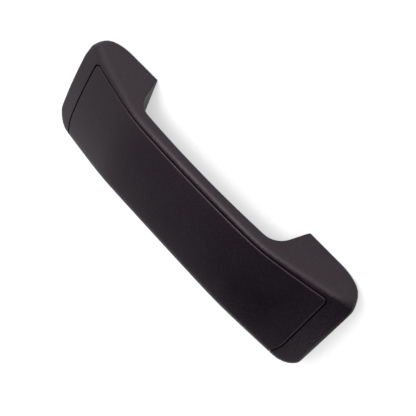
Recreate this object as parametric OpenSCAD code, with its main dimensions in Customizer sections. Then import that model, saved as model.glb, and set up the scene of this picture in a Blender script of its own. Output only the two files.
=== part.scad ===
// Arched pull handle for the inside of a tailgate, with a clip-on front cover.
// X runs along the grip, Y across it, Z outwards from the mounting plane (z = 0).
// +Y is the near side, whose face leans back; -Y is the far side, where the cover wraps round.

/* [Overall] */
// Length over both feet
handle_l = 220; // [190:1:260]
// Width across the feet at the mounting plane
foot_w = 72; // [66:1:82]
// Height of the front face over the mounting plane, at mid-length
front_h = 29.6; // [28:0.2:36]
// Height of the finger gap under the bar, at mid-length
gap_h = 20.7; // [17:0.1:21.5]
// Length of the finger gap at the mounting plane
gap_l = 128; // [114:1:136]

/* [Front face] */
// Half length of the flat middle of the front, up to the bend
bend_x = 54; // [46:1:60]
// Fall of the front towards the ends, in mm for each mm
end_fall = 0.195; // [0.1:0.005:0.24]
// Softness of the bend
bend_soft = 5; // [3:0.5:8]
// Radius of the gentle arch over the whole length
arch_r = 3000; // [1500:100:6000]
// Rise of the front towards the far side, in mm for each mm
front_tilt = 0.1; // [0.02:0.01:0.12]
// Radius of the crown across the front
crown_r = 227; // [150:5:500]
// Offset of the crown from mid-width
crown_y = 3.5; // [0:0.5:6]
// Drop of the rounded end rim
end_drop = 2.4; // [1.8:0.1:3.6]
// Length over which the end rim rounds off
end_round = 10; // [6:0.5:12]

/* [Sides] */
// Lean of the near side face, in mm for each mm of height
near_lean = 0.42; // [0.25:0.01:0.45]
// Lean of the far edge as the front falls, in mm for each mm
far_lean = 0.56; // [0.3:0.02:0.62]
// Radius of the ridge between near side and front, at mid-length
ridge_r = 3.2; // [2:0.1:4]
// Radius of the ridge at the ends
ridge_end_r = 6.1; // [4:0.1:7]
// Radius of the far edge, where the cover rolls over
roll_r = 6.5; // [4:0.5:7.5]
// Radius of the edges round the back
back_r = 1.3; // [0.8:0.1:1.8]
// Slant of the walls beside the finger gap, in mm for each mm
gap_slant = 0.37; // [0.2:0.01:0.42]
// Splay of those walls across the foot, in mm at the far side
gap_splay = 5.6; // [0:0.2:6]
// Radius between those walls and the bar
gap_r = 12.5; // [8:0.5:14]
// Radius of the arch along the back of the bar
bar_arch_r = 880; // [600:20:2000]
// Length of the swept corner at each end of the back
sweep_l = 22; // [16:0.5:23]
// Height of that corner
sweep_h = 13.4; // [9:0.1:13.6]
// Radius of the far corners in plan
far_corner_r = 10.5; // [5:0.5:11]
// Radius of the near corners in plan
near_corner_r = 8.5; // [2:0.5:9]

/* [Walls] */
// Wall of the frame
wall = 2.5; // [2:0.1:3]
// Floor of the channel in the bar and the feet
floor_t = 2.4; // [2:0.1:2.6]
// Thickness of the cover
cover_t = 2.4; // [2:0.1:2.6]
// Room between the cover's underside and its seat
seat_gap = 0.2; // [0.1:0.05:0.3]

/* [Cover] */
// Width of the open seam round the cover
seam = 0.8; // [0.5:0.05:1]
// Width of the frame's rim beyond the cover at each end
end_rim = 12.6; // [10:0.2:14]
// Distance from the near edge of the feet to the seam, at mid-length
near_rim = 14; // [13:0.1:15]
// Outward sweep of the near seam towards the ends
seam_sweep = 2.8; // [2:0.1:4.5]
// Depth of the cover's wrap round the far edge
wrap_h = 7.6; // [7:0.1:8]
// Set-in of the wrapped part at each end
wrap_in = 3.4; // [2:0.2:6]
// Length of the curl between the end seam and the wrapped part
curl_l = 17; // [10:0.5:18]
// Width of the ledge that carries the cover's edge
ledge = 2.4; // [1.8:0.1:3]
// Corner radius of the cover
cover_corner_r = 3; // [2:0.5:5]

/* [Fixing] */
// Place of the screws along a foot, as a share of its length
screw_share = 0.435; // [0.42:0.005:0.45]
// Distance of the screws from the long edges of the feet
screw_edge = 23; // [22:0.5:24]
// Clearance bore for the screws
screw_d = 6.6; // [5.5:0.1:7]
// Outside diameter of the screw bushes
bush_d = 10; // [9:0.5:11]
// Height of the bushes and their bosses
bush_h = 7; // [6:0.5:8]
// Wall of the bosses round the bushes
boss_wall = 2.2; // [1.8:0.1:2.6]
// Diameter of the flange on a bush
flange_d = 13; // [12.5:0.5:14]
// Thickness of that flange
flange_t = 1; // [0.8:0.1:1.5]

/* [Clips] */
// Place of the clips along a foot, as a share of its length
clip_share = 0.11; // [0.09:0.005:0.12]
// Distance of the clips from the long edges of the feet
clip_edge = 21; // [19:0.5:23]
// Height of the shelf that the clips snap through
shelf_z = 11; // [10:0.5:12]
// Thickness of that shelf
shelf_t = 1.8; // [1.5:0.1:2.2]
// Width of a clip tongue
tongue_w = 8; // [7:0.5:9]
// Thickness of a clip tongue
tongue_t = 1.6; // [1.4:0.1:2]
// Depth of a tongue below the shelf
tongue_below = 3.4; // [3:0.1:4]
// Thickness of the clip's spring steel
steel_t = 0.5; // [0.4:0.05:0.6]
// Spread of the clip's barbs beyond the slot, on each side
barb = 0.7; // [0.5:0.1:1]
// Clearance between clip and slot
clip_gap = 0.3; // [0.2:0.05:0.4]
// Place of the locating pins along a foot, as a share of its length
pin_share = 0.585; // [0.57:0.005:0.6]
// Diameter of the locating pins
pin_d = 4; // [3.5:0.1:4.5]
// Wall of the tubes that the pins enter
tube_wall = 1.6; // [1.4:0.1:2]
// Height of those tubes
tube_h = 12; // [10:0.5:13]

/* [Pads] */
// Length of an anti-rattle pad
pad_l = 28; // [20:1:32]
// Width of a pad
pad_w = 10; // [8:0.5:12]
// Distance between the two pads
pad_space = 32; // [20:1:36]
// Distance of the pads from the far edge
pad_edge = 13; // [12.5:0.5:15]

/* [Hidden] */
$fn = 48;
half_l = handle_l / 2;
half_w = foot_w / 2;
foot_front_x = half_l - end_round;
foot_l = (handle_l - gap_l) / 2;
screw_px = gap_l / 2 + screw_share * foot_l;
screw_py = half_w - screw_edge;
clip_px = gap_l / 2 + clip_share * foot_l;
clip_py = half_w - clip_edge;
pin_px = gap_l / 2 + pin_share * foot_l;
slant_k = sqrt(1 + gap_slant * gap_slant);
gap_slant_a = atan(gap_slant);
cover_x = half_l - end_rim;
cavity_x = min(cover_x - ledge - 0.2, foot_front_x - 3);
sweep_x = half_l - sweep_l;
sweep_a = sweep_l * 1.03;
far = 100;

// Fall of the front from its height at mid-length
function sag(x) = end_fall * bend_soft * ln(1 + exp((abs(x) - bend_x) / bend_soft)) + x * x / 2 / arch_r;
function rim_drop(x) = abs(x) < foot_front_x ? 0
    : end_drop * (1 - sqrt(max(0, 1 - pow((abs(x) - foot_front_x) / (end_round * 1.04), 2))));
function front_z(x, y) = front_h - sag(x) - rim_drop(x) - front_tilt * (y - crown_y)
    - pow(y - crown_y, 2) / 2 / crown_r;

// Back of the part: the arched bar, the rounded and slanted gap wall, the foot and its swept corner
function bar_z(x) = gap_h - x * x / 2 / bar_arch_r;
gap_cz = gap_h - gap_r - 1.33;
gap_cx = gap_l / 2 - gap_slant * gap_cz - slant_k * gap_r;
function wall_z(x, d) = (gap_l / 2 + slant_k * d - abs(x)) / gap_slant;
function arc_end_x(d) = gap_cx + (gap_r + d) * cos(gap_slant_a);
function back_z(x, d) =
    abs(x) < gap_cx ? bar_z(x) + (gap_cz + gap_r - bar_z(gap_cx)) * pow(x / gap_cx, 2) + d
    : abs(x) < arc_end_x(d) ? gap_cz + sqrt(pow(gap_r + d, 2) - pow(abs(x) - gap_cx, 2))
    : wall_z(x, d) > d ? wall_z(x, d)
    : abs(x) < sweep_x ? d
    : d + sweep_h * (1 - sqrt(max(0, 1 - pow((abs(x) - sweep_x) / sweep_a, 2))));

// Near and far sides
seam_y0 = half_w - near_rim;
function near_y(z) = half_w - near_lean * z;
end_front_z = front_h - sag(foot_front_x);
function corner_in(x, r) = abs(x) < half_l - r ? 0 : r - sqrt(max(0, r * r - pow(abs(x) - half_l + r, 2)));
function far_y(x) = -half_w + far_lean * max(0, front_h - sag(x) - end_front_z) + corner_in(x, far_corner_r);
function ridge_radius(x) = ridge_r + (ridge_end_r - ridge_r) * pow(min(1, abs(x) / foot_front_x), 3);

// Where the near side plane meets the front
function ridge_at(x, dn, dt) =
    let (y0 = near_y(front_z(x, seam_y0)), y1 = near_y(front_z(x, y0) - dt), y2 = near_y(front_z(x, y1) - dt))
    [y2 - dn - corner_in(x, near_corner_r), front_z(x, y2) - dt];

// A corner rounded by r in n steps, which takes up to ka and kb of the lengths towards a and b
function turn(p, a, b) = let (u = a - p, v = b - p) acos((u * v) / norm(u) / norm(v));
function round_corner(p, a, b, r, n, ka = 0.48, kb = 0.48) =
    let (
        half = turn(p, a, b) / 2,
        limit = min(ka * norm(a - p), kb * norm(b - p)),
        t = min(r / tan(half), limit),
        rr = t * tan(half),
        u = (a - p) / norm(a - p),
        v = (b - p) / norm(b - p),
        mid = (u + v) / norm(u + v),
        c = p + mid * rr / sin(half),
        from = p + u * t - c,
        to = p + v * t - c,
        sweep = 180 - 2 * half
    )
    [for (i = [0:n]) c + (from * sin(sweep * (1 - i / n)) + to * sin(sweep * i / n)) / sin(sweep)];

// One cross-section, as [y, z] points, with its near, far, top and bottom faces moved in by dn, df, dt, db
front_steps = 6;
function section(x, dn, df, dt, db) =
    let (
        zb = back_z(x, db),
        b = ridge_at(x, dn, dt),
        yf = far_y(x) + df,
        a = [near_y(zb) - dn - corner_in(x, near_corner_r), zb],
        c = [yf, front_z(x, yf) - dt],
        d = [yf, zb],
        y0 = b[0] - 0.6 * ridge_radius(x) - 0.4,
        y1 = c[0] + roll_r + 0.4,
        front = [for (i = [1:front_steps]) let (y = y0 + (y1 - y0) * (i - 1) / (front_steps - 1))
            [y, front_z(x, y) - dt]]
    )
    concat(
        round_corner(a, d, b, back_r, 2),
        round_corner(b, a, front[0], max(0.5, ridge_radius(x) - dt), 5, 0.6, 0.95),
        front,
        round_corner(c, front[front_steps - 1], d, max(0.5, roll_r - dt), 6, 0.95, 0.72),
        round_corner(d, c, a, back_r, 2, 0.24)
    );

// Shift along X of the back's far edge, which splays the gap walls
function splay(x) = -sign(x) * gap_splay * (
    abs(x) < gap_cx ? abs(x) / gap_cx
    : abs(x) < gap_l / 2 ? 1
    : max(0, (sweep_x - abs(x)) / (sweep_x - gap_l / 2)));

// Stations along X, closer together where the back turns
half_stations = concat(
    [for (i = [1:5]) gap_cx * i / 5],
    [for (a = [72, 56, 42, 30]) gap_cx + gap_r * cos(a)],
    [arc_end_x(0), gap_l / 2 - gap_slant * 1.2, gap_l / 2 + 0.3],
    [for (i = [1:4]) gap_l / 2 + (cavity_x - gap_l / 2) * i / 4],
    [foot_front_x - 1],
    [for (a = [18, 36, 52, 66, 78, 90]) foot_front_x + end_round * sin(a)]
);
stations = concat([for (i = [len(half_stations) - 1:-1:0]) -half_stations[i]], [0], half_stations);

// A closed skin through the cross-sections at the stations within +-reach
module skin(dn = 0, df = 0, dt = 0, db = 0, reach = 1000) {
    xs = [for (x = stations) if (abs(x) <= reach + 0.001) x];
    rings = [for (x = xs) let (low_z = back_z(x, db) + back_r + 0.1) [for (p = section(x, dn, df, dt, db))
        [x + (p[1] < low_z ? splay(x) * (half_w - p[0]) / foot_w : 0), p[0], p[1]]]];
    n = len(rings[0]);
    m = len(rings);
    points = [for (r = rings) for (p = r) p];
    sides = [for (i = [0:m - 2]) for (j = [0:n - 1])
        let (a = i * n + j, b = i * n + (j + 1) % n, c = b + n, e = a + n)
        each [[a, c, b], [a, e, c]]];
    caps = [[for (j = [0:n - 1]) j], [for (j = [n - 1:-1:0]) (m - 1) * n + j]];
    polyhedron(points, concat(sides, caps), convexity = 6);
}

// Plan outline of the cover, moved in by d
function seam_y(x) = seam_y0 + seam_sweep * pow(x / cover_x, 2);
wrap_y = -half_w + roll_r + 2;
module cover_outline(d) {
    near = [for (i = [-8:8]) [cover_x * i / 8, seam_y(cover_x * i / 8)]];
    curl = [for (i = [0:8]) [cover_x - wrap_in * (1 - cos(22.5 * i)) / 2, wrap_y + curl_l * (0.5 - i / 8)]];
    offset(delta = -d) offset(r = cover_corner_r) offset(delta = -cover_corner_r)
        polygon(concat(near, curl, [[cover_x - wrap_in, -far], [-cover_x + wrap_in, -far]],
            [for (i = [8:-1:0]) [-curl[i][0], curl[i][1]]]));
}

// Lower edge of the cover's wrap on the far side
function part_z(x) = front_z(x, far_y(x)) - wrap_h;
module above_parting(d) {
    xs = [for (i = [-12:12]) half_l * i / 12];
    translate([0, wrap_y, 0]) rotate([90, 0, 0]) linear_extrude(far)
        polygon(concat([for (x = xs) [x, part_z(x) + d]], [[half_l, far], [-half_l, far]]));
}

module cover_zone(d) {
    intersection() {
        linear_extrude(far) cover_outline(d);
        union() {
            above_parting(d);
            translate([-half_l, wrap_y - 0.01, 0]) cube([handle_l, foot_w, far]);
        }
    }
}

// The space under the cover, down to the floor
seat_t = cover_t + seat_gap;
module cavity() {
    intersection() {
        skin(dn = wall, df = seat_t + wall, dt = -8, db = floor_t, reach = cavity_x);
        linear_extrude(far) offset(delta = -ledge) cover_outline(0);
    }
}

foot_sides = [-1, 1];
rib_t = wall / 2;
rib_x = screw_px - flange_d / 2 - rib_t - seam;
tongue_end = shelf_z - shelf_t - tongue_below;
pin_end = (floor_t + tube_h) / 2;
slot_half = tongue_t / 2 + steel_t + clip_gap;

// Ribs of the right foot; the left foot has the same, mirrored
module foot_ribs() {
    // Cross rib that carries the shelf
    translate([rib_x, -half_w, 0.5]) cube([rib_t, foot_w, shelf_z - 0.5]);
    // Shelf between that rib and the gap wall
    translate([gap_cx, -half_w, shelf_z - shelf_t]) cube([rib_x - gap_cx + rib_t / 2, foot_w, shelf_t]);
    // Long ribs through the middle and through the bosses
    for (yy = [-1, 0, 1]) {
        translate([rib_x, yy * screw_py - rib_t / 2, 0.5]) cube([half_l - rib_x, rib_t, bush_h - 2]);
    }
    translate([screw_px - rib_t / 2, -half_w, 0.5]) cube([rib_t, foot_w, bush_h - 2]);
    // Tube for the locating pin
    translate([pin_px, 0, 0.5]) cylinder(d = pin_d + 2 * tube_wall, h = tube_h - 0.5, $fn = 32);
}

module frame_inside() {
    for (side = foot_sides) for (yy = [-1, 1]) {
        translate([side * screw_px, yy * screw_py, 0.5])
            cylinder(d = bush_d + 2 * boss_wall, h = bush_h - 0.5, $fn = 40);
    }
    intersection() {
        skin(dn = wall / 2, df = seat_t + wall / 2, dt = seat_t + 0.8, db = 0.4, reach = cavity_x);
        union() {
            foot_ribs();
            mirror([1, 0, 0]) foot_ribs();
        }
    }
}

module frame_shell() {
    difference() {
        union() {
            difference() {
                skin();
                difference() {
                    cover_zone(0);
                    skin(dn = -20, df = seat_t, dt = seat_t, db = -20);
                }
                cavity();
            }
            frame_inside();
        }
        for (side = foot_sides) for (yy = [-1, 1]) {
            translate([side * clip_px, yy * clip_py, shelf_z - shelf_t / 2])
                cube([2 * slot_half, tongue_w + 2 * clip_gap, shelf_t + 2], center = true);
        }
    }
}

module handle_frame() {
    color([0.09, 0.088, 0.094]) difference() {
        resize([handle_l, 0, 0]) frame_shell();
        for (side = foot_sides) for (yy = [-1, 1]) {
            translate([side * screw_px, yy * screw_py, -1]) cylinder(d = bush_d, h = bush_h + 2);
        }
        for (side = foot_sides) translate([side * pin_px, 0, floor_t + 1])
            cylinder(d = pin_d + clip_gap, h = front_h);
    }
}

module cover_panel() {
    color([0.08, 0.078, 0.084]) {
        resize([2 * (cover_x - seam), 0, 0]) difference() {
            intersection() {
                skin();
                cover_zone(seam);
            }
            skin(dn = -20, df = cover_t, dt = cover_t, db = -20);
        }
        for (side = foot_sides) {
            // Tongues for the spring clips
            for (yy = [-1, 1]) translate([side * clip_px, yy * clip_py, tongue_end]) {
                translate([-tongue_t / 2, -tongue_w / 2, 0])
                    cube([tongue_t, tongue_w, front_z(clip_px, yy * clip_py) - cover_t / 2 - tongue_end]);
            }
            // Locating pin
            translate([side * pin_px, 0, pin_end])
                cylinder(d = pin_d, h = front_z(pin_px, 0) - cover_t / 2 - pin_end);
        }
    }
}

module screw_bush(side, yy) {
    color("silver") translate([side * screw_px, yy * screw_py, 0]) difference() {
        union() {
            cylinder(d = bush_d, h = bush_h);
            translate([0, 0, bush_h]) cylinder(d = flange_d, h = flange_t);
        }
        translate([0, 0, -1]) cylinder(d = screw_d, h = bush_h + flange_t + 2);
    }
}

// Folded strip round the end of a tongue, with a barb each side that catches under the shelf
leg_x = tongue_t / 2;
barb_x = slot_half + barb;
under = shelf_z - shelf_t;
low = tongue_end - steel_t;
clip_right = [[leg_x, tongue_end], [barb_x - steel_t * 1.1, under - 0.75], [leg_x + 0.12, under - 0.42],
    [leg_x, shelf_z + 1], [leg_x + steel_t, shelf_z + 1], [leg_x + steel_t + 0.12, under],
    [barb_x, under - 0.45], [barb_x, under - 0.8], [leg_x + steel_t, low]];
clip_left = [for (i = [len(clip_right) - 1:-1:0]) [-clip_right[i][0], clip_right[i][1]]];
module spring_clip(side, yy) {
    color("dimgray") translate([side * clip_px, yy * clip_py + tongue_w / 2 - 0.5, 0])
        rotate([90, 0, 0]) linear_extrude(tongue_w - 1) polygon(concat(clip_right, clip_left));
}

module anti_rattle_pad(side) {
    color([0.2, 0.2, 0.2]) intersection() {
        translate([side > 0 ? pad_space / 2 : -pad_space / 2 - pad_l, pad_edge - half_w, 0])
            cube([pad_l, pad_w, far]);
        skin(dn = -20, df = cover_t, dt = cover_t, db = floor_t, reach = gap_l / 2);
    }
}

handle_frame();
cover_panel();
screw_bush(-1, 1);  // left_near_screw_bush
screw_bush(-1, -1);  // left_far_screw_bush
screw_bush(1, 1);  // right_near_screw_bush
screw_bush(1, -1);  // right_far_screw_bush
spring_clip(-1, 1);  // left_near_spring_clip
spring_clip(-1, -1);  // left_far_spring_clip
spring_clip(1, 1);  // right_near_spring_clip
spring_clip(1, -1);  // right_far_spring_clip
anti_rattle_pad(-1);  // left_anti_rattle_pad
anti_rattle_pad(1);  // right_anti_rattle_pad
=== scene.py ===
import bisect
import math
import bmesh
import bpy
from mathutils import Matrix, Vector


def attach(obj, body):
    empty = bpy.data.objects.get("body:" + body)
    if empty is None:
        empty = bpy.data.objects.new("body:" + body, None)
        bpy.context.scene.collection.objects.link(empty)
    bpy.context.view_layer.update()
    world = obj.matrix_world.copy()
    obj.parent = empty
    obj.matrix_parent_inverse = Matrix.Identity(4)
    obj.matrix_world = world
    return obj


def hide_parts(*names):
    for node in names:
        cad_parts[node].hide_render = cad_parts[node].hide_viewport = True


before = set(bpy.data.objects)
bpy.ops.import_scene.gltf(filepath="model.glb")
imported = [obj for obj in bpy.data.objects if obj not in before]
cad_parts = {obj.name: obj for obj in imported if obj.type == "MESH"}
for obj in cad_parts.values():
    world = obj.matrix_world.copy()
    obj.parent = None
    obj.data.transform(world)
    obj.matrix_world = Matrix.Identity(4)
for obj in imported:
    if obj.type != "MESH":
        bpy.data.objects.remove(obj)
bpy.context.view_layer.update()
mm = 0.001


# Shader maths: a socket that takes part in sums
class Field:
    def __init__(self, tree, node, output=0):
        self.tree = tree
        self.node = node
        self.out = node.outputs[output] if node.outputs else None

    def pick(self, output):
        return Field(self.tree, self.node, output)

    def join(self, operation, first, second):
        return self.tree.make("ShaderNodeMath", {"operation": operation}, {0: first, 1: second})

    def __add__(self, other):
        return self.join("ADD", self, other)

    def __radd__(self, other):
        return self.join("ADD", other, self)

    def __sub__(self, other):
        return self.join("SUBTRACT", self, other)

    def __rsub__(self, other):
        return self.join("SUBTRACT", other, self)

    def __mul__(self, other):
        return self.join("MULTIPLY", self, other)

    def __rmul__(self, other):
        return self.join("MULTIPLY", other, self)


class ShaderTree:
    def __init__(self, owner):
        owner.use_nodes = True
        self.nodes = owner.node_tree.nodes
        self.links = owner.node_tree.links
        self.nodes.clear()

    # Any node: its settings first, then the values or links of its sockets
    def make(self, kind, settings=None, values=None, output=0):
        node = self.nodes.new(kind)
        for key, value in (settings or {}).items():
            setattr(node, key, value)
        for key, value in (values or {}).items():
            if isinstance(value, Field):
                self.links.new(value.out, node.inputs[key])
            else:
                node.inputs[key].default_value = value
        return Field(self, node, output)

    def place(self):
        return self.make("ShaderNodeTexCoord").pick("Object")

    # Sockets 6 and 7 are the two colours, output 2 is their mix
    def mixColour(self, share, first, second):
        return self.make("ShaderNodeMix", {"data_type": "RGBA"}, {0: share, 6: first, 7: second}, 2)

    def spread(self, value, span, result=(0, 1)):
        return self.make("ShaderNodeMapRange", {"interpolation_type": "SMOOTHSTEP"},
                         {"Value": value, "From Min": span[0], "From Max": span[1],
                          "To Min": result[0], "To Max": result[1]})

    def noise(self, vector, scale, detail, roughness=0.5):
        return self.make("ShaderNodeTexNoise", None,
                         {"Vector": vector, "Scale": scale, "Detail": detail, "Roughness": roughness})

    def bump(self, height, strength, distance):
        return self.make("ShaderNodeBump", None,
                         {"Strength": strength, "Distance": distance, "Height": height})

    def finish(self, values):
        shader = self.make("ShaderNodeBsdfPrincipled", None, values)
        self.make("ShaderNodeOutputMaterial", None, {"Surface": shader})


def colour(red, green, blue):
    return (red, green, blue, 1)


# Moulded plastic: a fine spark-eroded grain, faint flow clouds in the gloss
def mouldedPlastic(name, look):
    material = bpy.data.materials.new(name)
    tree = ShaderTree(material)
    place = tree.place()
    clouds = tree.noise(place, look["cloudScale"], look["detail"])
    pits = tree.noise(place, look["pitScale"], look["detail"], look["pitRoughness"])
    cells = tree.make("ShaderNodeTexVoronoi", {"feature": "SMOOTH_F1"},
                      {"Vector": place, "Scale": look["cellScale"], "Smoothness": look["cellSoftness"]})
    grain = pits * look["pitShare"] + cells * (1 - look["pitShare"])
    tint = tree.mixColour(tree.spread(grain, look["grainSpan"]), look["pit"], look["crest"])
    tree.finish({"Base Color": tint, "Roughness": tree.spread(clouds, look["cloudSpan"], look["roughness"]),
                 "Normal": tree.bump(grain, look["grainStrength"], look["grainDepth"]),
                 "IOR": look["ior"], "Specular IOR Level": look["shine"], "Specular Tint": look["shineTint"]})
    return material


# Turned or rolled metal with fine lines along one axis
def linedMetal(name, look):
    material = bpy.data.materials.new(name)
    tree = ShaderTree(material)
    stretched = tree.make("ShaderNodeMapping", None, {"Vector": tree.place(), "Scale": look["stretch"]})
    lines = tree.noise(stretched, look["lineScale"], look["lineDetail"])
    stain = tree.noise(tree.place(), look["stainScale"], look["stainDetail"])
    tint = tree.mixColour(tree.spread(stain, look["stainSpan"]), look["light"], look["dark"])
    tree.finish({"Base Color": tint, "Metallic": 1.0,
                 "Roughness": tree.spread(lines, look["lineSpan"], look["roughness"]),
                 "Normal": tree.bump(lines, look["lineStrength"], look["lineDepth"])})
    return material


# Closed-cell foam: small pores, quite dull
def cellFoam(name, look):
    material = bpy.data.materials.new(name)
    tree = ShaderTree(material)
    pores = tree.make("ShaderNodeTexVoronoi", None, {"Vector": tree.place(), "Scale": look["poreScale"]})
    tint = tree.mixColour(tree.spread(pores, look["poreSpan"]), look["pore"], look["skin"])
    tree.finish({"Base Color": tint, "Roughness": look["roughness"],
                 "Normal": tree.bump(pores, look["poreStrength"], look["poreDepth"])})
    return material


plasticLook = {"detail": 3.0, "pitRoughness": 0.6, "pitShare": 0.6, "cellSoftness": 0.6,
               "grainSpan": (0.3, 0.7), "grainStrength": 0.8, "grainDepth": 0.0002, "cloudSpan": (0.35, 0.65),
               "ior": 1.5, "shine": 0.54, "shineTint": colour(1.0, 0.83, 0.9)}
frameLook = {**plasticLook, "pit": colour(0.0040, 0.0024, 0.0048), "crest": colour(0.0100, 0.0060, 0.0122),
             "cloudScale": 40.0, "pitScale": 1000.0, "cellScale": 700.0, "roughness": (0.34, 0.40)}
coverLook = {**plasticLook, "pit": colour(0.0040, 0.0024, 0.0048), "crest": colour(0.0098, 0.0058, 0.0120),
             "cloudScale": 35.0, "pitScale": 1050.0, "cellScale": 735.0, "roughness": (0.33, 0.39)}
metalLook = {"lineDetail": 4.0, "lineSpan": (0.3, 0.7), "lineStrength": 0.3, "lineDepth": 0.00004,
             "stainDetail": 2.0, "stainSpan": (0.35, 0.7)}
bushLook = {**metalLook, "light": colour(0.62, 0.61, 0.58), "dark": colour(0.42, 0.41, 0.39),
            "stainScale": 160.0, "stretch": (1.0, 1.0, 12.0), "lineScale": 900.0, "roughness": (0.25, 0.42)}
clipLook = {**metalLook, "light": colour(0.16, 0.165, 0.19), "dark": colour(0.07, 0.07, 0.085),
            "stainScale": 240.0, "stretch": (1.0, 8.0, 1.0), "lineScale": 1200.0, "roughness": (0.3, 0.5)}
padLook = {"pore": colour(0.008, 0.008, 0.008), "skin": colour(0.035, 0.035, 0.034), "poreScale": 1400.0,
           "poreSpan": (0.1, 0.6), "poreStrength": 0.8, "poreDepth": 0.0002, "roughness": 0.92}
framePlastic = mouldedPlastic("grainedFramePlastic", frameLook)
coverPlastic = mouldedPlastic("grainedCoverPlastic", coverLook)
finishes = {"handle_frame": framePlastic, "cover_panel": coverPlastic,
            "screw_bush": linedMetal("zincPlatedSteel", bushLook),
            "spring_clip": linedMetal("bluedSpringSteel", clipLook),
            "anti_rattle_pad": cellFoam("closedCellFoam", padLook)}
print("materials ready")

# Every CAD piece gets its finish
for nodeName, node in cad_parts.items():
    finish = next(value for ending, value in finishes.items() if nodeName.endswith(ending))
    node.data.materials.clear()
    node.data.materials.append(finish)
print("CAD pieces finished:", len(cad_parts))


# The moulded skin, in millimetres, with the sizes that the part's source gives it
class MouldedSkin:
    sizes = {
        # the part and the fall of its front
        "halfLength": 110, "halfWidth": 36, "frontHeight": 29.6, "endRound": 10, "bendAt": 54, "bendSoft": 5,
        "endFall": 0.195, "archRadius": 3000, "frontTilt": 0.1, "crownRadius": 227, "crownAt": 3.5,
        # finger gap, the bar over it and the sweep under the ends
        "gapHeight": 20.7, "gapLength": 128, "gapSlant": 0.37, "gapSplay": 5.6, "gapRadius": 12.5,
        "gapSink": 1.33, "barArchRadius": 880, "sweepLength": 22, "sweepHeight": 13.4, "sweepSlack": 1.03,
        # sides, rounds and corners
        "nearLean": 0.42, "farLean": 0.56, "ridgeRadius": 4.6, "ridgeEndRadius": 8, "rollRadius": 6.5,
        "backRadius": 1.3, "nearCorner": 8.5, "farCorner": 10.5,
        # rims round the cover; the end rim ends in a small round
        "nearRim": 14, "seamSweep": 2.8, "endRim": 12.6, "rimFall": 1.25, "rimSoft": 0.6, "rimEdge": 1.6,
        "rimEdgeFall": 0.3, "rimEdgeSlack": 1.02,
        # the seam's curl where the cover wraps round the roll
        "wrapDepth": 7.6, "wrapIn": 3.4, "wrapFrom": 2, "curlLength": 17, "wrapSnug": 0.8, "snugRow": 1.8,
        # the finer skin is drawn in a little at the solid's box
        "fitFrom": 34, "nearLimit": 35.24, "nearReach": 35.34, "farLimit": 35.74, "farReach": 35.99,
        "heightFit": 0.9988}
    steps = {"ridge": 24, "front": 40, "roll": 30, "edge": 8}
    # The front line starts and stops a little within the rounds beside it
    within = {"ridgeShare": 0.6, "more": 0.4}
    # How much of the sides of a corner its round may take
    shares = {"ridge": (0.5, 0.95), "roll": (0.95, 0.72), "farEdge": (0.24, 0.48), "nearEdge": (0.48, 0.48)}
    # How far from the cover's outline the grid gives way to it
    reach = {"corner": 12, "fade": 6, "curlWithin": 14, "curlBeyond": 9, "runOutFrom": 1, "runOutShare": 0.8}

    def __init__(self):
        for name, size in self.sizes.items():
            setattr(self, name, size)
        self.footFront = self.halfLength - self.endRound
        self.slantFactor = math.hypot(1, self.gapSlant)
        self.gapCentreHeight = self.gapHeight - self.gapRadius - self.gapSink
        self.gapCentre = (self.gapLength / 2 - self.gapSlant * self.gapCentreHeight
                          - self.slantFactor * self.gapRadius)
        self.sweepStart = self.halfLength - self.sweepLength
        self.seamStart = self.halfWidth - self.nearRim
        self.coverEnd = self.halfLength - self.endRim
        self.wrapCentre = -self.halfWidth + self.rollRadius + self.wrapFrom
        self.endFront = self.frontHeight - self.sag(self.footFront)
        self.known = {}

    def sag(self, x):
        bend = math.log(1 + math.exp((abs(x) - self.bendAt) / self.bendSoft))
        return self.endFall * self.bendSoft * bend + x * x / 2 / self.archRadius

    # Beyond the cover the end rim falls away as a flat facet with a small round at its outer edge
    def rimDrop(self, x):
        beyond = abs(x) - self.coverEnd + self.rimSoft
        facet = max(beyond / (self.halfLength - self.coverEnd + self.rimSoft), 0)
        soft = min(max(beyond / (2 * self.rimSoft), 0), 1)
        edge = max((abs(x) - self.halfLength + self.rimEdge) / (self.rimEdge * self.rimEdgeSlack), 0)
        return (self.rimFall * facet * soft * (2 - soft)
                + self.rimEdge * self.rimEdgeFall * (1 - math.sqrt(1 - edge * edge)))

    def frontAt(self, x, y):
        across = y - self.crownAt
        return (self.frontHeight - self.sag(x) - self.rimDrop(x) - self.frontTilt * across
                - across * across / 2 / self.crownRadius)

    def barAt(self, x):
        return self.gapHeight - x * x / 2 / self.barArchRadius

    # The underside: the bar, the gap's round, its slanted wall, the foot and the sweep under the end
    def backAt(self, x, wall=0):
        run, radius = abs(x), self.gapRadius + wall
        arcEnd = self.gapCentre + radius * math.cos(math.atan(self.gapSlant))
        slope = (self.gapLength / 2 + self.slantFactor * wall - run) / self.gapSlant
        if run < self.gapCentre:
            lift = self.gapCentreHeight + self.gapRadius - self.barAt(self.gapCentre)
            return self.barAt(x) + lift * (x / self.gapCentre) ** 2 + wall
        if run < arcEnd:
            return self.gapCentreHeight + math.sqrt(radius ** 2 - (run - self.gapCentre) ** 2)
        if slope > wall:
            return slope
        past = max(0, (run - self.sweepStart) / (self.sweepLength * self.sweepSlack))
        return wall + self.sweepHeight * (1 - math.sqrt(1 - past * past))

    def cornerIn(self, x, radius):
        past = abs(x) - self.halfLength + radius
        return radius - math.sqrt(radius * radius - past * past) if past > 0 else 0

    def farAt(self, x):
        lean = self.farLean * max(0, self.frontHeight - self.sag(x) - self.endFront)
        return -self.halfWidth + lean + self.cornerIn(x, self.farCorner)

    def seamAt(self, x):
        return self.seamStart + self.seamSweep * (x / self.coverEnd) ** 2

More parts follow.
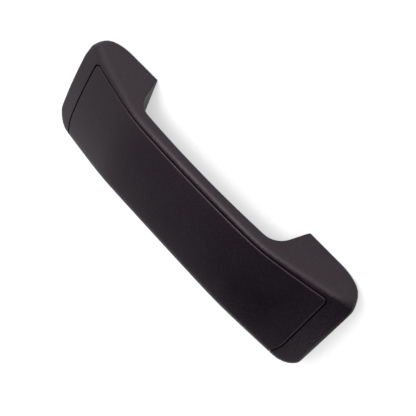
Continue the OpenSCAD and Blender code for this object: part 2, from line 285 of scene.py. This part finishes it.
    def splayAt(self, x):
        run = abs(x)
        share = (run / self.gapCentre if run < self.gapCentre else 1 if run < self.gapLength / 2
                 else max(0, (self.sweepStart - run) / (self.sweepStart - self.gapLength / 2)))
        return -math.copysign(self.gapSplay * share, x)

    # A corner of the section, rounded in steps
    def rounded(self, corner, before, after, radius, steps, shares):
        first, second = before - corner, after - corner
        half = first.angle(second) / 2
        reach = min(radius / math.tan(half), shares[0] * first.length, shares[1] * second.length)
        radius = reach * math.tan(half)
        first, second = first.normalized(), second.normalized()
        centre = corner + (first + second).normalized() * radius / math.sin(half)
        start, stop = corner + first * reach - centre, corner + second * reach - centre
        turn = math.pi - 2 * half
        return [centre + (start * math.sin(turn * (1 - i / steps)) + stop * math.sin(turn * i / steps))
                / math.sin(turn) for i in range(steps + 1)]

    # The section at x: its top, from the ridge to the far edge, the lengths along it, the rows' marks, and
    # the runs of its back, which are the far edge, the underside, the near edge and the near face
    def section(self, x):
        key = round(x, 5)
        if key in self.known:
            return self.known[key]
        steps, shares = self.steps, self.shares
        low = self.backAt(x)
        outwards = min(1, abs(x) / self.footFront) ** 3
        ridgeRadius = self.ridgeRadius + (self.ridgeEndRadius - self.ridgeRadius) * outwards
        nearSide = self.seamStart
        for _ in range(3):  # the near side and the front's height there depend on each other
            nearSide = self.halfWidth - self.nearLean * self.frontAt(x, nearSide)
        ridge = Vector((nearSide - self.cornerIn(x, self.nearCorner), self.frontAt(x, nearSide)))
        farSide = self.farAt(x)
        nearLow = Vector((self.halfWidth - self.nearLean * low - self.cornerIn(x, self.nearCorner), low))
        farTop, farLow = Vector((farSide, self.frontAt(x, farSide))), Vector((farSide, low))
        first = ridge.x - self.within["ridgeShare"] * ridgeRadius - self.within["more"]
        last = farSide + self.rollRadius + self.within["more"]
        across = [first + (last - first) * i / steps["front"] for i in range(steps["front"] + 1)]
        front = [Vector((y, self.frontAt(x, y))) for y in across]
        ridgeArc = self.rounded(ridge, nearLow, front[0], ridgeRadius, steps["ridge"], shares["ridge"])
        rollArc = self.rounded(farTop, front[-1], farLow, self.rollRadius, steps["roll"], shares["roll"])
        farArc = self.rounded(farLow, farTop, nearLow, self.backRadius, steps["edge"], shares["farEdge"])
        nearArc = self.rounded(nearLow, farLow, ridge, self.backRadius, steps["edge"], shares["nearEdge"])
        top = ridgeArc + front + rollArc + farArc[:1]
        lengths = [0]
        for one, two in zip(top, top[1:]):
            lengths.append(lengths[-1] + (two - one).length)
        rollStart, rollEnd = lengths[len(ridgeArc) + len(front)], lengths[-2]
        if abs(x) <= self.coverEnd:
            seam = self.lengthWhere(top, lengths, 0, self.seamAt(x))
            parting = self.lengthWhere(top, lengths, 1, farTop.y - self.wrapDepth)
        else:  # beyond the cover both lines keep their share of the way
            there = self.section(self.coverEnd)["marks"]
            seam = there[1] / there[2] * rollStart
            parting = rollEnd + (lengths[-1] - rollEnd) * (there[4] - there[3]) / (there[5] - there[3])
        self.known[key] = {"top": top, "lengths": lengths,
                           "marks": [0, seam, rollStart, rollEnd, parting, lengths[-1]],
                           "back": [farArc, [farArc[-1], nearArc[0]], nearArc, [nearArc[-1], ridgeArc[0]]]}
        return self.known[key]

    def lengthWhere(self, line, lengths, axis, level):
        for i in range(len(line) - 1, 0, -1):
            if line[i][axis] <= level < line[i - 1][axis]:
                share = (line[i - 1][axis] - level) / (line[i - 1][axis] - line[i][axis])
                return lengths[i - 1] + share * (lengths[i] - lengths[i - 1])
        return lengths[-1]

    def lengthAt(self, marks, row):
        i = min(int(row), 4)
        return marks[i] + (marks[i + 1] - marks[i]) * (row - i)

    def along(self, line, lengths, length):
        length = min(max(length, 0), lengths[-1])
        i = min(max(bisect.bisect_right(lengths, length) - 1, 0), len(line) - 2)
        span = lengths[i + 1] - lengths[i]
        return line[i].lerp(line[i + 1], (length - lengths[i]) / span if span > 0 else 0)

    # Rows: 0 start of the ridge's round, 1 seam, 2 and 3 start and end of the roll, 4 parting line, 5 to 6
    # the far edge, 6 to 7 the underside, 7 to 8 the near edge, 8 to 9 the near face, where 9 is 0 again.
    # past is a length beyond the row
    def onSection(self, x, row, past):
        found = self.section(x)
        if row <= 5:
            return self.along(found["top"], found["lengths"], self.lengthAt(found["marks"], row) + past)
        whole = min(int(row), 8)
        run = found["back"][whole - 5]
        place = (row - whole) * (len(run) - 1)
        i = min(int(place), len(run) - 2)
        return run[i].lerp(run[i + 1], place - i)

    # The grid gives way to the cover's outline: its rounded corners, and the curl at the far end.
    # u is the distance inwards from the cover's end, v from its near seam
    def giveWay(self, x, row, past, corner, gap, endGap):
        side, reach, marks = math.copysign(1, x), self.reach, self.section(x)["marks"]
        u = self.coverEnd - endGap - abs(x)
        if row == 4 and abs(x) > self.coverEnd + reach["runOutFrom"]:  # the parting line runs out
            share = reach["runOutShare"]
            past = min(max(past, share * (marks[3] - marks[4])), share * (marks[5] - marks[4]))
        v = self.lengthAt(marks, row) + past - marks[1] - gap
        if abs(u) < reach["corner"] and abs(v) < reach["corner"]:
            across, down = self.roundIn(abs(u), corner), self.roundIn(abs(v), corner)
            weight = (u * u + 1e-9) / (u * u + v * v + 2e-9)  # never 0 / 0
            fade = max(0, 1 - min(abs(u), abs(v)) / reach["fade"]) ** 2
            x -= side * (across[0] * weight + down[1] * (1 - weight)) * fade
            past += (across[1] * weight + down[0] * (1 - weight)) * fade
        y = self.onSection(x, row, past).x
        curl = min(max((self.wrapCentre + self.curlLength / 2 - y) / self.curlLength, 0), 1)
        near = max(0, 1 - abs(u) / reach["curlWithin" if u > 0 else "curlBeyond"])
        inwards = self.wrapIn * (1 - math.cos(math.pi * curl)) / 2
        x -= side * inwards * near * near * (3 - 2 * near) * min(1, 5 - row)
        closing = min(max(row - self.snugRow, 0), 1)  # the end seam closes up round the roll
        x += side * self.wrapSnug * endGap * near * closing
        return x, past

    # A point of the skin, with the splay of the gap's walls
    def place(self, x, row, past, corner, gap, endGap):
        if 0 < row <= 5:
            x, past = self.giveWay(x, row, past, corner, gap, endGap)
        point = self.onSection(x, row, past)
        splay = 0 if row <= 3 else min(1, 9 - row)
        if 3 < row < 5:
            marks = self.section(x)["marks"]
            splay = (self.lengthAt(marks, row) + past - marks[3]) / (marks[5] - marks[3])
        x += self.splayAt(x) * splay * (self.halfWidth - point.x) / (2 * self.halfWidth)
        return Vector((x, self.fitted(point.x), point.y * self.heightFit))

    # The finer skin keeps to the solid's box
    def fitted(self, y):
        over = abs(y) - self.fitFrom
        if over <= 0:
            return y
        room = (self.nearLimit if y > 0 else self.farLimit) - self.fitFrom
        full = (self.nearReach if y > 0 else self.farReach) - self.fitFrom
        return math.copysign(self.fitFrom + over * room / full, y)

    # How far a point of a straight seam moves along and inwards, near a corner
    def roundIn(self, away, radius):
        if away >= radius:
            return (0, 0)
        angle = math.pi / 4 * (1 - away / radius)
        return (radius - radius * math.sin(angle) - away, radius - radius * math.cos(angle))


skin = MouldedSkin()


# A grid drawn over the skin; every vertex remembers its column and its row
def skinGrid(columns, rows, corner, gap=0, endGap=0):
    shape = bmesh.new()
    bmesh.ops.create_grid(shape, x_segments=len(columns) - 1, y_segments=len(rows) - 1, size=1)
    column, line = shape.verts.layers.int.new("column"), shape.verts.layers.int.new("line")
    for vert in shape.verts:
        i = round((vert.co.x + 1) / 2 * (len(columns) - 1))
        j = round((vert.co.y + 1) / 2 * (len(rows) - 1))
        vert[column], vert[line] = i, j
        vert.co = skin.place(columns[i], *rows[j], corner, gap, endGap)
    return shape


def cellsWithin(shape, left, right, low, high):
    column, line = shape.verts.layers.int["column"], shape.verts.layers.int["line"]
    return [face for face in shape.faces if all(
        left <= vert[column] <= right and low <= vert[line] <= high for vert in face.verts)]


# Every vertex also remembers which way is out
def rememberOutward(shape):
    outward = shape.verts.layers.float_vector.new("outward")
    for vert in shape.verts:
        vert[outward] = vert.normal
    return outward


def ofKind(items, kind):
    return [item for item in items if isinstance(item, kind)]


def blend(first, last, count):
    return [tuple(a + (b - a) * k / count for a, b in zip(first, last)) for k in range(1, count + 1)]


def mirrored(half):
    return [-x for x in reversed(half)] + [0] + half


# Blocks and round posts of the hidden structure, in millimetres
def addBlock(shape, low, high):
    low, high = Vector(low), Vector(high)
    matrix = Matrix.Translation((low + high) / 2) @ Matrix.Diagonal(high - low).to_4x4()
    bmesh.ops.create_cube(shape, size=1, matrix=matrix)


def addPost(shape, x, y, low, high, diameter):
    bmesh.ops.create_cone(shape, cap_ends=True, segments=64, radius1=diameter / 2, radius2=diameter / 2,
                          depth=high - low, matrix=Matrix.Translation((x, y, (low + high) / 2)))


# A block where a bush's bore will be. Cutting it out of the posts and ribs, which cross one another, makes
# them one body before they join the skin
coreBlock = {"low": (83.1, 12.1, 2.9), "high": (84.9, 13.9, 5.2)}


# One moulding out of the skin, what is joined to it and what is cut from it
def mould(shape, joined, cuts):
    core = bmesh.new()
    addBlock(core, coreBlock["low"], coreBlock["high"])
    objects = {}
    for name, part in (("body", shape), ("joined", joined), ("cuts", cuts), ("core", core)):
        mesh = bpy.data.meshes.new(name)
        part.to_mesh(mesh)
        part.free()
        objects[name] = bpy.data.objects.new(name, mesh)
        bpy.context.scene.collection.objects.link(objects[name])
    for owner, other, operation in (("joined", "core", "DIFFERENCE"), ("body", "joined", "UNION"),
                                    ("body", "cuts", "DIFFERENCE")):
        modifier = objects[owner].modifiers.new(operation, "BOOLEAN")
        modifier.operation, modifier.object, modifier.solver = operation, objects[other], "EXACT"
        modifier.use_self = owner == "joined"
    depsgraph = bpy.context.evaluated_depsgraph_get()
    result = bmesh.new()
    result.from_mesh(objects["body"].evaluated_get(depsgraph).to_mesh())
    for item in objects.values():
        mesh = item.data
        bpy.data.objects.remove(item)
        bpy.data.meshes.remove(mesh)
    return result


smoothBelow = 38  # degrees; edges with a larger angle stay sharp


def finishPiece(shape, name, material, nodeName):
    bmesh.ops.scale(shape, vec=(mm, mm, mm), verts=shape.verts)
    for face in shape.faces:
        face.smooth = True
    mesh = bpy.data.meshes.new(name)
    shape.to_mesh(mesh)
    shape.free()
    mesh.set_sharp_from_angle(angle=math.radians(smoothBelow))
    mesh.materials.append(material)
    piece = bpy.data.objects.new(name, mesh)
    bpy.context.scene.collection.objects.link(piece)
    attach(piece, "root")
    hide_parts(nodeName)


# Handle frame: the whole skin, with the cover's seat and the pocket under it. Columns count from the middle,
# rows give the cells of each stretch of the section
frameForm = {"corner": 3.8, "rimRound": 0.18, "rimSteps": 3, "seatDepth": 2.6, "floor": 2.4, "cell": 0.6,
             "ledge": 4, "pocketPast": 2, "barColumns": 10, "gapAngles": (80, 70, 60, 50, 40, 30, 20.3),
             "footColumns": (61.2, 62.5, 63.56, 64.3, 66, 69.5, 73, 76.5, 80, 84, 88, 90, 92),
             "beforeSeam": 3.9, "seamCells": (-5, 4), "rimColumns": (101.5, 104, 106, 107.6),
             "edgeAngles": (0, 15, 30, 45, 60, 75, 90), "weld": 0.001,
             "rows": {"ridge": 7, "seam": 7, "front": 12, "roll": 10, "farFace": 3, "farEdge": 4,
                      "underside": 14, "nearEdge": 4, "nearFace": 5}}


def frameColumns():
    form, end, cell = frameForm, skin.coverEnd, frameForm["cell"]
    half = [skin.gapCentre * k / form["barColumns"] for k in range(1, form["barColumns"] + 1)]
    half += [skin.gapCentre + skin.gapRadius * math.cos(math.radians(a)) for a in form["gapAngles"]]
    half += [*form["footColumns"], end - form["beforeSeam"]]
    half += [end + cell * k for k in range(*form["seamCells"])]
    half += form["rimColumns"]
    half += [skin.halfLength - skin.rimEdge * (1 - math.sin(math.radians(a))) for a in form["edgeAngles"]]
    return mirrored(half)


def frameRows():
    cell, count = frameForm["cell"], frameForm["rows"]
    rows = [(0, 0)] + blend((0, 0), (1, -cell), count["ridge"])
    rows += [(1, cell * k) for k in range(count["seam"])]
    rows += blend(rows[-1], (2, 0), count["front"]) + blend((2, 0), (3, 0), count["roll"])
    rows += [(4, -cell), (4, 0), (4, cell)] + blend((4, cell), (5, 0), count["farFace"])
    for row, stretch in enumerate(("farEdge", "underside", "nearEdge", "nearFace"), 5):
        rows += blend((row, 0), (row + 1, 0), count[stretch])
    return rows


def buildFrame():
    form, columns, rows = frameForm, frameColumns(), frameRows()
    shape = skinGrid(columns, rows, form["corner"])
    bmesh.ops.remove_doubles(shape, verts=shape.verts, dist=form["weld"])
    bmesh.ops.holes_fill(shape, edges=[edge for edge in shape.edges if edge.is_boundary], sides=0)
    bmesh.ops.recalc_face_normals(shape, faces=shape.faces)
    shape.normal_update()
    outward = rememberOutward(shape)
    left = min(range(len(columns)), key=lambda i: abs(columns[i] + skin.coverEnd))
    right = len(columns) - 1 - left
    seamLine, rollLine, partingLine = rows.index((1, 0)), rows.index((2, 0)), rows.index((4, 0))
    # seat of the cover
    seat = cellsWithin(shape, left, right, seamLine, partingLine)
    inSeat = set(seat)
    rim = [edge for face in seat for edge in face.edges
           if not all(other in inSeat for other in edge.link_faces)]
    pressed = bmesh.ops.extrude_face_region(shape, geom=seat)["geom"]
    bmesh.ops.delete(shape, geom=[face for face in seat if face.is_valid], context="FACES")
    for vert in ofKind(pressed, bmesh.types.BMVert):
        vert.co -= vert[outward] * form["seatDepth"]
    # pocket down to the floor, within the seat's ledge
    seatFaces, ledge = set(ofKind(pressed, bmesh.types.BMFace)), form["ledge"]
    inner = [face for face in cellsWithin(shape, left + ledge, right - ledge, seamLine + ledge,
                                          rollLine + form["pocketPast"]) if face in seatFaces]
    sunk = bmesh.ops.extrude_face_region(shape, geom=inner)["geom"]
    bmesh.ops.delete(shape, geom=[face for face in inner if face.is_valid], context="FACES")
    for vert in ofKind(sunk, bmesh.types.BMVert):
        vert.co.z = skin.backAt(vert.co.x, form["floor"])
    bmesh.ops.bevel(shape, geom=[edge for edge in rim if edge.is_valid], offset=form["rimRound"],
                    segments=form["rimSteps"], profile=0.5, affect="EDGES", material=-1)
    return mould(shape, frameStructure(), frameOpenings())


# Bosses, ribs, shelves and pin tubes inside the feet, and the bores and slots through them
inside = {"screwX": 84.01, "screwY": 13, "clipX": 69.06, "clipY": 15, "pinX": 90.91, "ribX": 75.46,
          "rib": 1.25, "shelfTop": 11, "shelf": 1.8, "lowRib": 5.5, "bossWidth": 14.4, "bossTop": 7,
          "bush": 10, "tubeWidth": 7.2, "tubeTop": 12, "tubeBore": 4.3, "tubeFloor": 3.4, "slot": (3.2, 8.6),
          "foot": 1, "farWall": -31.6, "nearWall": 1.9, "endWall": 94, "gapWall": 61.6, "cutPast": 1}
fourCorners = [(side, across) for side in (-1, 1) for across in (-1, 1)]


def addRib(shape, side, first, last, low, high, bottom, top):
    ends = sorted((side * first, side * last))
    addBlock(shape, (ends[0], low, bottom), (ends[1], high, top))


def frameStructure():
    shape, size, rib = bmesh.new(), inside, inside["rib"]
    foot, ribX, shelfTop = size["foot"], size["ribX"], size["shelfTop"]
    walls = (size["farWall"], skin.seamAt(ribX) - size["nearWall"])
    for side, across in fourCorners:
        addPost(shape, side * size["screwX"], across * size["screwY"], foot, size["bossTop"],
                size["bossWidth"])
    for side in (-1, 1):
        addRib(shape, side, ribX, ribX + rib, *walls, foot, shelfTop)
        addRib(shape, side, size["gapWall"], ribX + rib / 2, *walls, shelfTop - size["shelf"], shelfTop)
        addRib(shape, side, size["screwX"] - rib / 2, size["screwX"] + rib / 2, *walls, foot, size["lowRib"])
        for across in (-1, 0, 1):
            middle = across * size["screwY"]
            addRib(shape, side, ribX + rib / 2, size["endWall"], middle - rib / 2, middle + rib / 2, foot,
                   size["lowRib"])
        addPost(shape, side * size["pinX"], 0, foot, size["tubeTop"], size["tubeWidth"])
    return shape


def frameOpenings():
    shape, size, past = bmesh.new(), inside, inside["cutPast"]
    wide, long = size["slot"]
    for side, across in fourCorners:
        addPost(shape, side * size["screwX"], across * size["screwY"], -past, size["bossTop"] + past,
                size["bush"])
        x, y = side * size["clipX"], across * size["clipY"]
        addBlock(shape, (x - wide / 2, y - long / 2, size["shelfTop"] - size["shelf"] - past),
                 (x + wide / 2, y + long / 2, size["shelfTop"] + past))
    for side in (-1, 1):
        addPost(shape, side * size["pinX"], 0, size["tubeFloor"], size["tubeTop"] + past, size["tubeBore"])
    return shape


finishPiece(buildFrame(), "grained_frame", framePlastic, "handle_frame")
print("frame skin ready")

# Cover panel: its own skin, thickened inwards, with a soft rounded edge. The lists are the distances of its
# first rows and columns from the edge, its columns from the middle, and its last rows from the parting line
coverForm = {"gap": 0.8, "endGap": 0.55, "wall": 2.4, "corner": 3.1, "edgeRound": 1.0, "wrapRound": 0.35,
             "wrapRows": 0.6, "away": (0, 0.04, 0.14, 0.3, 0.5, 0.72, 1, 1.5, 2.1, 3.15, 4.2, 5.25),
             "barColumns": 10, "columns": (50.5, 53, 55.5, 58, 60.5, 63, 66, 69.5, 73, 76.5, 80, 84, 88, 90),
             "frontRows": 12, "rollRows": 9, "lastRollRow": 2.9, "farAway": (1, 0.5, 0.2, 0.05, 0),
             "tongue": (1.6, 8), "tongueEnd": 5.8, "pin": 4, "pinEnd": 7.2}


# How deep the soft edge lies at a place of the cover; it grows tighter where the seam wraps round the roll
def edgeDepth(x, row, past):
    form = coverForm
    away = skin.coverEnd - form["endGap"] - abs(x)
    if row == 1:
        away = min(away, past - form["gap"])
    elif row == 4:
        away = min(away, -form["gap"] - past)
    share = min(max((row - 2) / form["wrapRows"], 0), 1)
    radius = form["edgeRound"] + (form["wrapRound"] - form["edgeRound"]) * share * share * (3 - 2 * share)
    return radius - math.sqrt(radius * radius - (radius - away) ** 2) if away < radius else 0


def coverColumns():
    form, end = coverForm, skin.coverEnd - coverForm["endGap"]
    half = [skin.gapCentre * k / form["barColumns"] for k in range(1, form["barColumns"] + 1)]
    return mirrored(half + [*form["columns"]] + [end - step for step in reversed(form["away"])])


def coverRows():
    form, gap = coverForm, coverForm["gap"]
    rows = [(1, gap + step) for step in form["away"]]
    rows += blend(rows[-1], (2, 0), form["frontRows"])
    rows += blend((2, 0), (form["lastRollRow"], 0), form["rollRows"])
    return rows + [(4, -gap - step) for step in form["farAway"]]


def buildCover():
    form, columns, rows = coverForm, coverColumns(), coverRows()
    shape = skinGrid(columns, rows, form["corner"], form["gap"], form["endGap"])
    bmesh.ops.recalc_face_normals(shape, faces=shape.faces)
    shape.normal_update()
    if sum(face.normal.z for face in shape.faces) < 0:
        bmesh.ops.reverse_faces(shape, faces=shape.faces)
    column, line = shape.verts.layers.int["column"], shape.verts.layers.int["line"]
    outward = rememberOutward(shape)
    outer = [(vert, edgeDepth(columns[vert[column]], *rows[vert[line]])) for vert in shape.verts]
    pressed = bmesh.ops.extrude_face_region(shape, geom=list(shape.faces), use_keep_orig=True)["geom"]
    for vert in ofKind(pressed, bmesh.types.BMVert):
        vert.co -= vert[outward] * form["wall"]
    for vert, depth in outer:
        vert.co -= vert[outward] * depth
    bmesh.ops.recalc_face_normals(shape, faces=shape.faces)
    return mould(shape, coverTongues(), bmesh.new())


# Tongues for the spring clips and locating pins under the cover
def coverTongues():
    shape, size = bmesh.new(), coverForm
    deep = size["wall"] / 2
    wide, long = size["tongue"]
    for side, across in fourCorners:
        x, y = side * inside["clipX"], across * inside["clipY"]
        addBlock(shape, (x - wide / 2, y - long / 2, size["tongueEnd"]),
                 (x + wide / 2, y + long / 2, skin.frontAt(x, y) - deep))
    for side in (-1, 1):
        x = side * inside["pinX"]
        addPost(shape, x, 0, size["pinEnd"], skin.frontAt(x, 0) - deep, size["pin"])
    return shape


finishPiece(buildCover(), "grained_cover", coverPlastic, "cover_panel")
print("cover skin ready")

# Studio: a pale floor, white to the camera, that keeps the part's shadow
floorForm = {"size": 8.0, "drop": 0.05 * mm, "colour": colour(0.8, 0.8, 0.8), "lift": 0.5, "shine": 0.2}


def paleFloor():
    mesh = bpy.data.meshes.new("floor")
    shape = bmesh.new()
    bmesh.ops.create_grid(shape, x_segments=1, y_segments=1, size=floorForm["size"] / 2)
    bmesh.ops.translate(shape, verts=shape.verts, vec=(0, 0, -floorForm["drop"]))
    shape.to_mesh(mesh)
    shape.free()
    floor = bpy.data.objects.new("floor", mesh)
    bpy.context.scene.collection.objects.link(floor)
    material = bpy.data.materials.new("paleFloor")
    tree = ShaderTree(material)
    ray = tree.make("ShaderNodeLightPath")
    seenInPart = ray.pick("Is Glossy Ray") + ray.pick("Is Transmission Ray")
    paint = tree.make("ShaderNodeBsdfDiffuse", None, {"Color": floorForm["colour"]})
    glow = tree.make("ShaderNodeEmission", None, {"Strength": ray.pick("Is Camera Ray") * floorForm["lift"]
                                                  + seenInPart * floorForm["shine"]})
    both = tree.make("ShaderNodeAddShader", None, {0: paint, 1: glow})
    tree.make("ShaderNodeOutputMaterial", None, {"Surface": both})
    mesh.materials.append(material)


paleFloor()

# Square lamps round the part: where each one stands, and its watts
lampSize, lampDistance = 0.6, 1.4
lamps = {"ridge": ((-0.25, 0.35, 0.9), 4.0), "ridgeRight": ((0.2, 0.45, 0.87), 1.7),
         "ridgeLow": ((-0.2, 0.6, 0.8), 0.9), "farLeft": ((-0.5, -0.8, 0.35), 0.7),
         "farMiddle": ((-0.1, -0.93, 0.35), 0.85), "farRight": ((0.2, -0.96, 0.2), 0.8),
         "right": ((0.68, -0.6, 0.4), 1.4), "rightLow": ((0.8, -0.5, 0.3), 0.35)}
for lampName, (towards, watts) in lamps.items():
    light = bpy.data.lights.new(lampName, "AREA")
    light.shape, light.size, light.energy = "SQUARE", lampSize, watts
    lamp = bpy.data.objects.new(lampName, light)
    lamp.location = Vector(towards).normalized() * lampDistance
    lamp.rotation_euler = (-lamp.location).to_track_quat("-Z", "Y").to_euler()
    bpy.context.scene.collection.objects.link(lamp)

# Two wide soft boxes in a dark room: one beyond the left end, one over the near side
softBoxes = [{"towards": (-1, 0, 0.25), "level": 0.545}, {"towards": (0, 1, 0.3), "level": 0.975}]
boxSpan = (0.1, 0.9)  # cosines, from the faint edge of a soft box to its full middle


def studioWorld():
    world = bpy.data.worlds.new("studio")
    bpy.context.scene.world = world
    tree = ShaderTree(world)
    seen = tree.make("ShaderNodeLightPath").pick("Is Camera Ray")
    way = tree.make("ShaderNodeTexCoord").pick("Generated")
    level = 0
    for box in softBoxes:
        aim = tree.make("ShaderNodeVectorMath", {"operation": "DOT_PRODUCT"},
                        {0: way, 1: Vector(box["towards"]).normalized()}, 1)
        level = level + tree.spread(aim, boxSpan, (0, box["level"]))
    strength = seen + (1 - seen) * level  # white to the camera
    back = tree.make("ShaderNodeBackground", None, {"Color": colour(1, 1, 1), "Strength": strength})
    tree.make("ShaderNodeOutputWorld", None, {"Surface": back})


studioWorld()
print("studio ready")

# Camera at the photograph's angle
view = {"target": (11.861 * mm, 6.327 * mm, 15 * mm), "distance": 376.906 * mm, "azimuth": 159.98,
        "elevation": 46.146, "roll": -119.037, "lens": 56.25, "clipStart": 0.01}
azimuth, elevation = math.radians(view["azimuth"]), math.radians(view["elevation"])
back = Vector((math.sin(azimuth) * math.cos(elevation), -math.cos(azimuth) * math.cos(elevation),
               math.sin(elevation)))
levelRight = Vector((0, 0, 1)).cross(back).normalized()
right = Matrix.Rotation(math.radians(view["roll"]), 3, back) @ levelRight
up = back.cross(right)
cameraData = bpy.data.cameras.new("camera")
cameraData.lens = view["lens"]
cameraData.clip_start = view["clipStart"]
camera = bpy.data.objects.new("camera", cameraData)
camera.matrix_world = (Matrix.Translation(Vector(view["target"]) + back * view["distance"])
                       @ Matrix((right, up, back)).transposed().to_4x4())
bpy.context.scene.collection.objects.link(camera)
bpy.context.scene.camera = camera
bpy.context.scene.view_settings.view_transform = "Standard"
print("camera ready")
